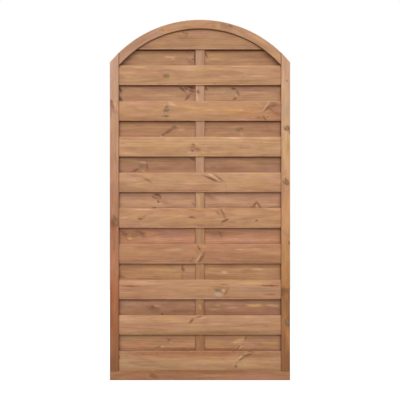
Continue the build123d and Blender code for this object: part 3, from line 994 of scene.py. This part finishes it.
# In the back rows, the long dark lines right across a board beside a front slat's edge are painted shade:
# brick on the lowest, umber on the second and fourth, brown on the third and fifth
back_figure = [
    ((174, 130, 95), (0.06, 0.05), [
        (grey, 0.6, 50, 208, 105, 208, 9), (mauve, 0.5, 260, 209, 340, 208, 8),
        (orange, 0.6, 50, 180, 208, 176, 12), (olive, 0.8, 215, 163, 270, 176, 8),
        (umber, 0.6, 225, 160, 255, 168, 5), (cream, 0.7, 255, 163, 266, 168, 4),
        (orange, 0.6, 321, 182, 417, 180, 9), (cream, 0.6, 303, 185, 308, 183, 4),
        (brick, 0.8, 46, 153, 856, 152, 8), (mauve, 0.4, 473, 210, 610, 207, 9),
        (ochre, 0.6, 487, 182, 592, 180, 12), (straw, 0.85, 672, 204, 612, 182, 11),
        (peach, 0.5, 625, 186, 700, 180, 12), (straw, 0.6, 46, 214, 856, 214, 6),
        (umber, 0.9, 684, 214, 676, 200, 5), (umber, 0.9, 667, 176, 633, 151, 6),
        (cream, 0.8, 664, 172, 648, 157, 5), (mauve, 0.7, 692, 210, 850, 209, 8),
        (pink, 0.5, 690, 180, 740, 170, 7), (straw, 0.5, 760, 186, 840, 184, 6),
    ], [(umber, 294, 199, 5)]),
    ((161, 117, 88), (0.05, 0.03), [
        (pink, 0.4, 50, 384, 850, 380, 10), (umber, 0.35, 50, 336, 856, 336, 14),
        (pink, 0.55, 50, 386, 178, 378, 12), (olive, 0.5, 296, 388, 421, 386, 8),
        (umber, 0.7, 192, 360, 250, 344, 18), (bark, 0.7, 208, 368, 214, 362, 8),
        (pink, 0.6, 222, 372, 256, 370, 5), (moss, 0.8, 212, 340, 222, 336, 6),
        (moss, 0.6, 238, 336, 246, 334, 5), (bark, 0.8, 256, 330, 262, 328, 5),
        (umber, 0.3, 270, 352, 417, 345, 18), (straw, 0.7, 525, 373, 550, 372, 4),
        (straw, 0.6, 492, 351, 540, 352, 3), (pink, 0.5, 590, 360, 640, 362, 10),
        (honey, 0.95, 687, 371, 767, 372, 8), (straw, 0.9, 779, 374, 850, 370, 6),
        (olive, 0.5, 640, 392, 850, 390, 6), (rose, 0.5, 654, 348, 850, 343, 14),
        (umber, 0.4, 473, 332, 700, 330, 6),
    ], []),
    ((180, 134, 94), (0.07, 0.07), [
        (straw, 0.4, 50, 556, 850, 552, 12), (brown, 0.4, 50, 512, 856, 514, 14),
        (grey, 0.7, 50, 571, 125, 570, 8), (orange, 0.6, 67, 550, 104, 547, 10),
        (rust, 0.85, 44, 522, 66, 512, 9), (straw, 0.4, 120, 555, 330, 545, 14),
        (umber, 0.85, 361, 572, 366, 545, 7), (rose, 0.6, 375, 550, 420, 520, 20),
        (umber, 0.8, 360, 555, 370, 553, 8), (brown, 0.7, 358, 530, 364, 505, 7),
        (pink, 0.5, 380, 548, 405, 542, 6), (brown, 0.6, 212, 516, 258, 516, 4),
        (brown, 0.5, 65, 505, 300, 505, 5), (straw, 0.5, 487, 559, 560, 558, 6),
        (brown, 0.5, 487, 530, 560, 512, 14), (cream, 0.75, 565, 541, 582, 538, 9),
        (cream, 0.8, 712, 553, 771, 553, 5), (mauve, 0.6, 779, 535, 850, 522, 12),
        (peach, 0.5, 625, 550, 665, 545, 8),
    ], []),
    ((180, 127, 94), (0.05, 0.06), [
        (umber, 0.3, 50, 742, 856, 740, 10), (peach, 0.45, 50, 700, 856, 698, 14),
        (mauve, 0.7, 183, 742, 421, 728, 14), (peach, 0.7, 171, 704, 425, 702, 11),
        (umber, 0.75, 56, 740, 88, 722, 16), (umber, 0.65, 140, 742, 168, 722, 15),
        (olive, 0.8, 92, 728, 104, 726, 10), (peach, 0.9, 88, 708, 106, 706, 9),
        (rust, 0.8, 80, 712, 82, 700, 4), (rust, 0.7, 86, 698, 104, 697, 3),
        (umber, 0.5, 475, 742, 583, 728, 14), (moss, 0.5, 515, 730, 528, 728, 8),
        (umber, 0.6, 548, 740, 560, 718, 8), (grey, 0.75, 592, 742, 850, 740, 7),
        (peach, 0.8, 515, 704, 856, 702, 11), (mauve, 0.6, 562, 684, 856, 684, 4),
        (pink, 0.5, 473, 715, 540, 700, 10),
    ], [(moss, 119, 725, 9)]),
    ((186, 142, 110), (0.08, 0.02), [
        (cream, 0.35, 50, 893, 856, 893, 14), (brown, 0.3, 50, 866, 856, 866, 7),
        (olive, 0.4, 140, 915, 178, 905, 8), (rose, 0.65, 250, 900, 292, 882, 16),
        (bark, 0.8, 224, 930, 246, 927, 9), (umber, 0.8, 212, 920, 222, 912, 7),
        (umber, 0.8, 246, 924, 252, 912, 7), (umber, 0.6, 228, 914, 240, 908, 7),
        (bark, 0.8, 237, 896, 245, 890, 6), (cream, 0.7, 226, 894, 229, 893, 4),
        (cream, 0.8, 248, 886, 252, 884, 5), (umber, 0.9, 212, 864, 229, 864, 5),
        (brown, 0.7, 233, 863, 267, 863, 4), (mauve, 0.8, 410, 890, 424, 876, 8),
        (cream, 0.5, 375, 901, 412, 899, 5), (yellow, 0.3, 50, 870, 200, 870, 8),
        (brown, 0.7, 477, 928, 525, 910, 12), (cream, 0.3, 530, 915, 620, 895, 14),
        (straw, 0.85, 496, 884, 529, 887, 5), (brown, 0.65, 475, 869, 717, 867, 8),
        (umber, 0.9, 716, 867, 732, 890, 7), (umber, 0.9, 736, 890, 754, 866, 7),
        (brown, 0.7, 722, 876, 726, 868, 7), (brown, 0.7, 744, 878, 748, 868, 7),
        (pink, 0.95, 735, 880, 737, 866, 4), (brown, 0.7, 706, 867, 718, 866, 7),
        (brown, 0.7, 754, 867, 764, 866, 7), (cream, 0.5, 783, 880, 850, 878, 5),
        (brown, 0.6, 780, 865, 856, 865, 4),
    ], []),
    ((167, 124, 92), (0.05, 0.08), [
        (olive, 0.5, 121, 1096, 150, 1094, 8), (pink, 0.7, 152, 1094, 178, 1088, 8),
        (umber, 0.7, 182, 1088, 186, 1054, 7), (pink, 0.6, 158, 1052, 170, 1046, 6),
        (rose, 0.6, 62, 1064, 105, 1050, 14), (umber, 0.75, 108, 1044, 146, 1062, 7),
        (umber, 0.8, 44, 1044, 62, 1041, 7), (rose, 0.5, 337, 1075, 417, 1068, 16),
        (gold, 0.5, 233, 1076, 292, 1075, 4), (brown, 0.4, 200, 1062, 330, 1056, 10),
        (umber, 0.6, 500, 1069, 530, 1068, 4), (rose, 0.4, 520, 1095, 560, 1090, 10),
        (gold, 0.45, 592, 1092, 740, 1085, 12), (rose, 0.6, 692, 1062, 850, 1056, 14),
        (umber, 0.4, 480, 1046, 640, 1044, 6), (bark, 0.7, 404, 1110, 424, 1103, 8),
    ], [(moss, 160, 1073, 9)]),
    ((176, 130, 95), (0.06, 0.04), [
        (ochre, 0.5, 325, 1246, 400, 1236, 12), (umber, 0.8, 314, 1262, 268, 1232, 10),
        (bark, 0.7, 268, 1231, 260, 1227, 6), (straw, 0.7, 337, 1254, 371, 1258, 5),
        (cream, 0.6, 252, 1223, 262, 1221, 4), (umber, 0.75, 652, 1264, 666, 1258, 6),
        (moss, 0.8, 630, 1256, 652, 1254, 7), (straw, 0.5, 655, 1238, 664, 1226, 8),
        (brown, 0.5, 550, 1224, 592, 1224, 5), (brown, 0.3, 740, 1250, 850, 1246, 12),
        (moss, 0.7, 853, 1240, 856, 1228, 6), (umber, 0.5, 473, 1262, 486, 1250, 6),
    ], [(umber, 321, 1269, 7), (moss, 642, 1255, 6)]),
    ((184, 142, 106), (0.045, 0.06), [
        (rose, 0.7, 175, 1462, 360, 1455, 12), (gold, 0.45, 120, 1440, 210, 1436, 7),
        (straw, 0.85, 208, 1432, 367, 1431, 7), (rose, 0.4, 100, 1408, 350, 1406, 10),
        (rose, 0.85, 396, 1436, 427, 1405, 20), (bark, 0.9, 349, 1467, 374, 1450, 8),
        (umber, 0.85, 392, 1456, 427, 1446, 11), (bark, 0.9, 390, 1470, 427, 1464, 8),
        (pink, 0.9, 384, 1452, 393, 1442, 5), (bark, 0.7, 376, 1468, 384, 1456, 7),
        (umber, 0.9, 376, 1406, 397, 1428, 8), (pink, 0.8, 405, 1426, 410, 1424, 5),
        (bark, 0.9, 46, 1466, 54, 1444, 8), (grey, 0.7, 62, 1462, 66, 1442, 5),
        (bark, 0.9, 46, 1420, 56, 1398, 9), (mauve, 0.95, 608, 1458, 800, 1455, 11),
        (mauve, 0.6, 800, 1455, 850, 1450, 10), (umber, 0.9, 474, 1466, 486, 1458, 8),
        (olive, 0.5, 487, 1466, 550, 1464, 7), (orange, 0.75, 529, 1427, 554, 1426, 6),
        (bark, 0.85, 610, 1463, 624, 1461, 7), (umber, 0.8, 636, 1450, 645, 1432, 7),
        (cream, 0.8, 633, 1428, 635, 1424, 5), (umber, 0.8, 620, 1409, 630, 1414, 8),
        (straw, 0.6, 650, 1440, 808, 1442, 5), (olive, 0.4, 800, 1430, 852, 1420, 12),
        (rose, 0.5, 835, 1408, 856, 1400, 8),
    ], []),
    ((176, 132, 96), (0.07, 0.05), [
        (yellow, 0.4, 140, 1624, 170, 1620, 10), (straw, 0.85, 275, 1620, 329, 1621, 6),
        (straw, 0.7, 306, 1613, 320, 1610, 5), (rose, 0.8, 355, 1612, 412, 1590, 18),
        (umber, 0.45, 385, 1610, 418, 1588, 12), (grey, 0.7, 392, 1634, 414, 1622, 7),
        (bark, 0.9, 422, 1648, 424, 1578, 5), (bark, 0.7, 410, 1612, 420, 1606, 5),
        (umber, 0.85, 474, 1646, 486, 1620, 7), (rose, 0.6, 475, 1590, 488, 1580, 7),
        (straw, 0.6, 496, 1611, 562, 1609, 5), (brown, 0.5, 496, 1599, 558, 1598, 5),
        (rose, 0.4, 650, 1630, 760, 1610, 16), (cream, 0.6, 60, 1577, 325, 1577, 4),
    ], []),
]

# Painted shade beside the stiles and the batten, then along the laps: the boards whose faces are painted
# darker towards their lower edge, as shade, and, from the lowest row up, how deep the painted shade is under
# each slat and along the lap above it
stile_strips = (("X", 0, 44, 5, 0.35, 0), ("X", 856, 900, 5, 0.45, 0))
batten_strip = ("X", 427, 473, 5, 0.45)
shaded_lower_edges = (1, 2, 4, 6, 8)
underside_depths = (0, 0, 0, 0, 0, 0.1, 0.1, 0.3, 0.7, 1.0)
lap_depths = (0, 0.02, 0.10, 0.24, 0.45, 0.65, 0.75, 0.80, 1.0, 1.0)
edge_height, edge_reach, edge_depth = 20, 30, 0.12
# Front slats from this one up get a painted highlight along their lower edge
first_highlit_edge = 3  # front slats from here up have a pale lower edge
# The painted shade where the slats lap: how far it runs on behind a neighbour, its reach and its depth
covered_height = 100  # of what lies behind another slat
sill_reach, sill_depth = 1, 0.9
lap_reach, lap_reach_per_row = 3, 0.5
# Each row's side, figures and first seed, and how deep the arch rail's painted shade is on it
rows = (("front", -1, front_figure, 100, 0.65), ("back", 1, back_figure, 200, 0.0))
for row, side, figures, seed, arch_shade in rows:
    for number, (wood, pith, marks, knots) in enumerate(figures, start=1):
        node = f"{row}_slat_{number:02d}"
        low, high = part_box(node)
        others, below, inner = ("back", number - 1, 1) if row == "front" else ("front", number, -1)
        lower_edge = (low[2] - panel_foot) * 1e3
        # Painted shade beside the stiles and the batten, towards some lower edges and along the laps
        covered = [*stile_strips, (*batten_strip, inner)]
        if number in shaded_lower_edges:
            covered.append(("Z", lower_edge - edge_height, lower_edge, edge_reach, edge_depth, -inner))
        # A painted highlight along the lower edge of a front slat
        if row == "front" and number >= first_highlit_edge:
            marks = [*marks, (cream, 0.95, 44, lower_edge, 856, lower_edge, 6)]
        if below >= 1:
            sill = (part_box(f"{others}_slat_{below:02d}")[1][2] - panel_foot) * 1e3
            covered.append(("Z", sill - covered_height, sill, sill_reach, sill_depth, inner))
        if below < len(back_figure) or row == "back":
            lap = (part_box(f"{others}_slat_{below + 1:02d}")[0][2] - panel_foot) * 1e3
            reach = lap_reach + number * lap_reach_per_row
            covered.append(("Z", lap, lap + covered_height, reach, lap_depths[number - 1], inner))
        start = (cad_low[0], low[1], low[2])
        slat_timber = planed_timber(
            f"{node}_timber", seed + number, start, 0.0, pith, wood, marks, knots, covered, arch_shade,
            underside=underside_depths[number - 1],
        )
        slat = add_timber(f"{row}_board_{number:02d}", [slat_shell(low, high, side)], slat_timber)
        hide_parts(node)

# The studio
# A plain pale floor that keeps the panel's shadow, with white all round it. A wide key light comes
# from above in front, one softbox fills in from the front and another lights the back.
floor_reach = 9.0
floor_glow = 0.94  # where the camera sees the floor
floor_grey = 0.3
ambient_light = 0.14
sun_power = 2.45
sun_spread = math.radians(60)
sun_height = math.radians(47)


def seen_directly(tree):
    """1 for rays from the camera, also by a mirror or through glass, and 0 for light on a surface."""
    path = add_node(tree, "ShaderNodeLightPath").outputs
    seen = calculate(tree, "ADD", path["Is Camera Ray"], path["Is Glossy Ray"], clamp=True)
    return calculate(tree, "ADD", seen, path["Is Transmission Ray"], clamp=True)


def add_softbox(name, place, target, size, power):
    """A rectangular soft light that faces its target."""
    lamp = bpy.data.lights.new(name, "AREA")
    lamp.shape = "RECTANGLE"
    lamp.size, lamp.size_y = size
    lamp.energy = power
    made = add_object(name, lamp)
    made.location = place
    towards = np.array(target) - np.array(place)
    flat = math.hypot(towards[0], towards[1])
    tilt = math.radians(90) - math.atan2(-towards[2], flat)
    made.rotation_euler = (tilt, 0, math.atan2(-towards[0], towards[1]))


floor_mesh = bpy.data.meshes.new("floor")
floor_signs = ((-1, -1), (1, -1), (1, 1), (-1, 1))
floor_corners = [(panel_middle + floor_reach * x, floor_reach * y, panel_foot) for x, y in floor_signs]
floor_mesh.from_pydata(floor_corners, [], [(0, 1, 2, 3)])
floor = add_object("floor", floor_mesh)
floor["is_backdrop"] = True
floor_material = bpy.data.materials.new("floor_white")
tree = empty_tree(floor_material)
glow = calculate(tree, "MULTIPLY", seen_directly(tree), floor_glow)
white = add_node(tree, "ShaderNodeEmission", {"Strength": glow}).outputs[0]
matt = add_node(tree, "ShaderNodeBsdfDiffuse", {"Color": (floor_grey, floor_grey, floor_grey, 1)}).outputs[0]
mixed = add_node(tree, "ShaderNodeAddShader", {0: white, 1: matt}).outputs[0]
add_node(tree, "ShaderNodeOutputMaterial", {"Surface": mixed})
floor_mesh.materials.append(floor_material)

world = bpy.data.worlds.new("studio")
bpy.context.scene.world = world
tree = empty_tree(world)
plain = (1, 1, 1, 1)
ambient = add_node(tree, "ShaderNodeBackground", {"Color": plain, "Strength": ambient_light}).outputs[0]
backdrop = add_node(tree, "ShaderNodeBackground", {"Color": plain, "Strength": 1.0}).outputs[0]
mixed = add_node(tree, "ShaderNodeMixShader", {0: seen_directly(tree), 1: ambient, 2: backdrop}).outputs[0]
add_node(tree, "ShaderNodeOutputWorld", {"Surface": mixed})

sun = bpy.data.lights.new("key_light", "SUN")
sun.energy = sun_power
sun.angle = sun_spread
key_light = add_object("key_light", sun)
key_light.rotation_euler = (math.radians(90) - sun_height, 0, 0)
middle_point = (panel_middle, 0, panel_foot + panel_height / 2)
# Each soft light: how far behind the panel it hangs, its height, its width and height, and its watts
softboxes = (("fill_light", -4.4, 1.3, (3.6, 2.4), 50), ("back_light", 3.5, 3.6, (3.0, 1.5), 90))
for name, behind, above, size, power in softboxes:
    add_softbox(name, (panel_middle, behind, panel_foot + above), middle_point, size, power)

low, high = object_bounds()
